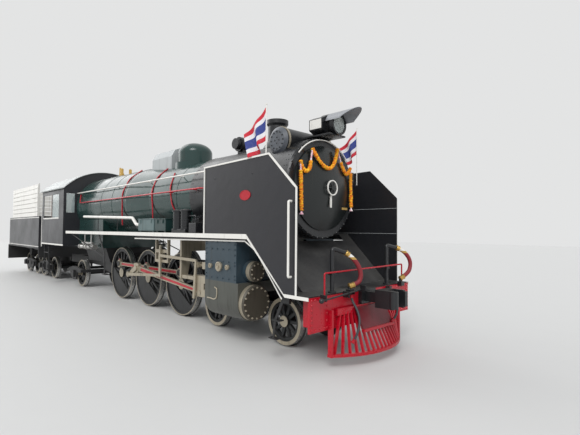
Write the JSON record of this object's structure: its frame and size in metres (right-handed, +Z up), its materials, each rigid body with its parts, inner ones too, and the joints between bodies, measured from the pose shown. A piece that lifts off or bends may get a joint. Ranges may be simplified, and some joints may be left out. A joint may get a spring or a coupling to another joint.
{
  "type": "steam locomotive with tender",
  "caption": "Steam locomotive with smoke deflectors, coupled driving wheels with rods, cab, pilot and a bogie tender with slatted fuel sides.",
  "frame": {"origin": "under the middle of the length over the couplers, at the tips of the wheel flanges", "axes": "+X forward along the track, +Y to the left, +Z up"},
  "size_m": [19.3, 2.754, 4.003],
  "materials": {
    "black_paint": "gloss black paint, dusty on top",
    "boiler_green": "gloss dark green paint",
    "valve_blue": "slate blue paint",
    "cylinder_olive": "olive grey paint",
    "bare_steel": "oiled bright steel",
    "red_paint": "gloss red paint",
    "white_paint": "white paint",
    "roof_grey": "pale grey paint",
    "wheel_black": "black paint with bare tyre rims"
  },
  "bodies": {
    "locomotive": {"ashpan": "black_paint", "axle_boxes": "black_paint", "boiler": "boiler_green", "boiler_mountings": "black_paint", "cab_body": "black_paint", "cab_roof": "roof_grey", "chimney": "black_paint", "cylinder_casings": "cylinder_olive", "cylinder_covers": "bare_steel", "domes": "boiler_green", "feedwater_heater": "black_paint", "front_beam": "red_paint", "front_coupler": "black_paint", "guide_bars": "bare_steel", "handrails": "white_paint", "headlamp": "black_paint", "main_frames": "black_paint", "pilot": "red_paint", "running_boards": "black_paint", "smoke_deflectors": "black_paint", "smokebox": "black_paint", "valve_chests": "valve_blue", "valve_gear": "bare_steel", "white_trim": "white_paint"},
    "smokebox_door": {"smokebox_door": "black_paint"},
    "lead_bogie": {"lead_bogie_frame": "black_paint"},
    "lead_axle_1": {"lead_axle_1": "wheel_black"},
    "lead_axle_2": {"lead_axle_2": "wheel_black"},
    "driving_axle_1": {"driving_axle_1": "wheel_black"},
    "driving_axle_2": {"driving_axle_2": "wheel_black"},
    "driving_axle_3": {"driving_axle_3": "wheel_black"},
    "coupling_rod_right": {"coupling_rod_right": "bare_steel"},
    "coupling_rod_left": {"coupling_rod_left": "bare_steel"},
    "main_rod_right": {"main_rod_right": "bare_steel"},
    "main_rod_left": {"main_rod_left": "bare_steel"},
    "crosshead_right": {"crosshead_right": "bare_steel"},
    "crosshead_left": {"crosshead_left": "bare_steel"},
    "trailing_truck": {"trailing_truck": "black_paint"},
    "trailing_axle": {"trailing_axle": "wheel_black"},
    "tender": {"tender_frame": "black_paint", "tender_tank": "black_paint"},
    "tender_bogie_1": {"tender_bogie_1": "black_paint"},
    "tender_bogie_2": {"tender_bogie_2": "black_paint"},
    "tender_axle_1": {"tender_axle_1": "wheel_black"},
    "tender_axle_2": {"tender_axle_2": "wheel_black"},
    "tender_axle_3": {"tender_axle_3": "wheel_black"},
    "tender_axle_4": {"tender_axle_4": "wheel_black"}
  },
  "joints": [
    {"name": "lead_bogie_swivel", "type": "hinge", "parent": "locomotive", "child": "lead_bogie", "pos_m": [6.865, 0, 0.628], "axis": [0, 0, 1], "range_deg": [-3, 3]},
    {"name": "lead_axle_1_turn", "type": "hinge", "parent": "lead_bogie", "child": "lead_axle_1", "pos_m": [7.83, 0, 0.413], "axis": [0, 1, 0], "continuous": true},
    {"name": "lead_axle_2_turn", "type": "hinge", "parent": "lead_bogie", "child": "lead_axle_2", "pos_m": [5.9, 0, 0.413], "axis": [0, 1, 0], "continuous": true},
    {"name": "driving_axle_2_turn", "type": "hinge", "parent": "locomotive", "child": "driving_axle_2", "pos_m": [2.95, 0, 0.714], "axis": [0, 1, 0], "continuous": true},
    {"name": "driving_axle_1_turn", "type": "hinge", "parent": "locomotive", "child": "driving_axle_1", "pos_m": [4.55, 0, 0.714], "axis": [0, 1, 0], "continuous": true},
    {"name": "driving_axle_3_turn", "type": "hinge", "parent": "locomotive", "child": "driving_axle_3", "pos_m": [1.35, 0, 0.714], "axis": [0, 1, 0], "continuous": true},
    {"name": "coupling_rod_right_pin", "type": "hinge", "parent": "driving_axle_2", "child": "coupling_rod_right", "pos_m": [3.1025, -0.7, 0.97814], "axis": [0, 1, 0], "continuous": true},
    {"name": "crosshead_right_slide", "type": "slide", "parent": "locomotive", "child": "crosshead_right", "axis": [1, 0, 0], "range_m": [-0.4451, 0.1649]},
    {"name": "main_rod_right_wrist", "type": "hinge", "parent": "crosshead_right", "child": "main_rod_right", "pos_m": [5.92015, -0.93, 0.714], "axis": [0, 1, 0], "range_deg": [-11.54, 0.83]},
    {"name": "coupling_rod_left_pin", "type": "hinge", "parent": "driving_axle_2", "child": "coupling_rod_left", "pos_m": [2.68586, 0.7, 0.8665], "axis": [0, 1, 0], "continuous": true},
    {"name": "crosshead_left_slide", "type": "slide", "parent": "locomotive", "child": "crosshead_left", "axis": [1, 0, 0], "range_m": [-0.0368, 0.5732]},
    {"name": "main_rod_left_wrist", "type": "hinge", "parent": "crosshead_left", "child": "main_rod_left", "pos_m": [5.51175, 0.93, 0.714], "axis": [0, 1, 0], "range_deg": [-9.28, 3.1]},
    {"name": "trailing_truck_swivel", "type": "hinge", "parent": "locomotive", "child": "trailing_truck", "pos_m": [0.08, 0, 0.548], "axis": [0, 0, 1], "range_deg": [-2.5, 2.5]},
    {"name": "trailing_axle_turn", "type": "hinge", "parent": "trailing_truck", "child": "trailing_axle", "pos_m": [-1.82, 0, 0.458], "axis": [0, 1, 0], "continuous": true},
    {"name": "smokebox_door_hinge", "type": "hinge", "parent": "locomotive", "child": "smokebox_door", "pos_m": [8.18, 0.79, 2.628], "axis": [0, 0, 1], "range_deg": [0, 105]},
    {"name": "tender_drawbar", "type": "hinge", "parent": "locomotive", "child": "tender", "pos_m": [-3.53, 0, 0.858], "axis": [0, 0, 1], "range_deg": [-6, 6]},
    {"name": "tender_bogie_1_swivel", "type": "hinge", "parent": "tender", "child": "tender_bogie_1", "pos_m": [-5.57, 0, 0.728], "axis": [0, 0, 1], "range_deg": [-5, 5]},
    {"name": "tender_axle_1_turn", "type": "hinge", "parent": "tender_bogie_1", "child": "tender_axle_1", "pos_m": [-4.87, 0, 0.428], "axis": [0, 1, 0], "continuous": true},
    {"name": "tender_axle_2_turn", "type": "hinge", "parent": "tender_bogie_1", "child": "tender_axle_2", "pos_m": [-6.27, 0, 0.428], "axis": [0, 1, 0], "continuous": true},
    {"name": "tender_bogie_2_swivel", "type": "hinge", "parent": "tender", "child": "tender_bogie_2", "pos_m": [-7.97, 0, 0.728], "axis": [0, 0, 1], "range_deg": [-5, 5]},
    {"name": "tender_axle_3_turn", "type": "hinge", "parent": "tender_bogie_2", "child": "tender_axle_3", "pos_m": [-7.27, 0, 0.428], "axis": [0, 1, 0], "continuous": true},
    {"name": "tender_axle_4_turn", "type": "hinge", "parent": "tender_bogie_2", "child": "tender_axle_4", "pos_m": [-8.67, 0, 0.428], "axis": [0, 1, 0], "continuous": true}
  ],
  "couplings": [
    {"joint": "driving_axle_1_turn", "follows": "driving_axle_2_turn", "ratio": 1},
    {"joint": "driving_axle_3_turn", "follows": "driving_axle_2_turn", "ratio": 1},
    {"joint": "coupling_rod_right_pin", "follows": "driving_axle_2_turn", "ratio": -1},
    {"joint": "coupling_rod_left_pin", "follows": "driving_axle_2_turn", "ratio": -1}
  ]
}
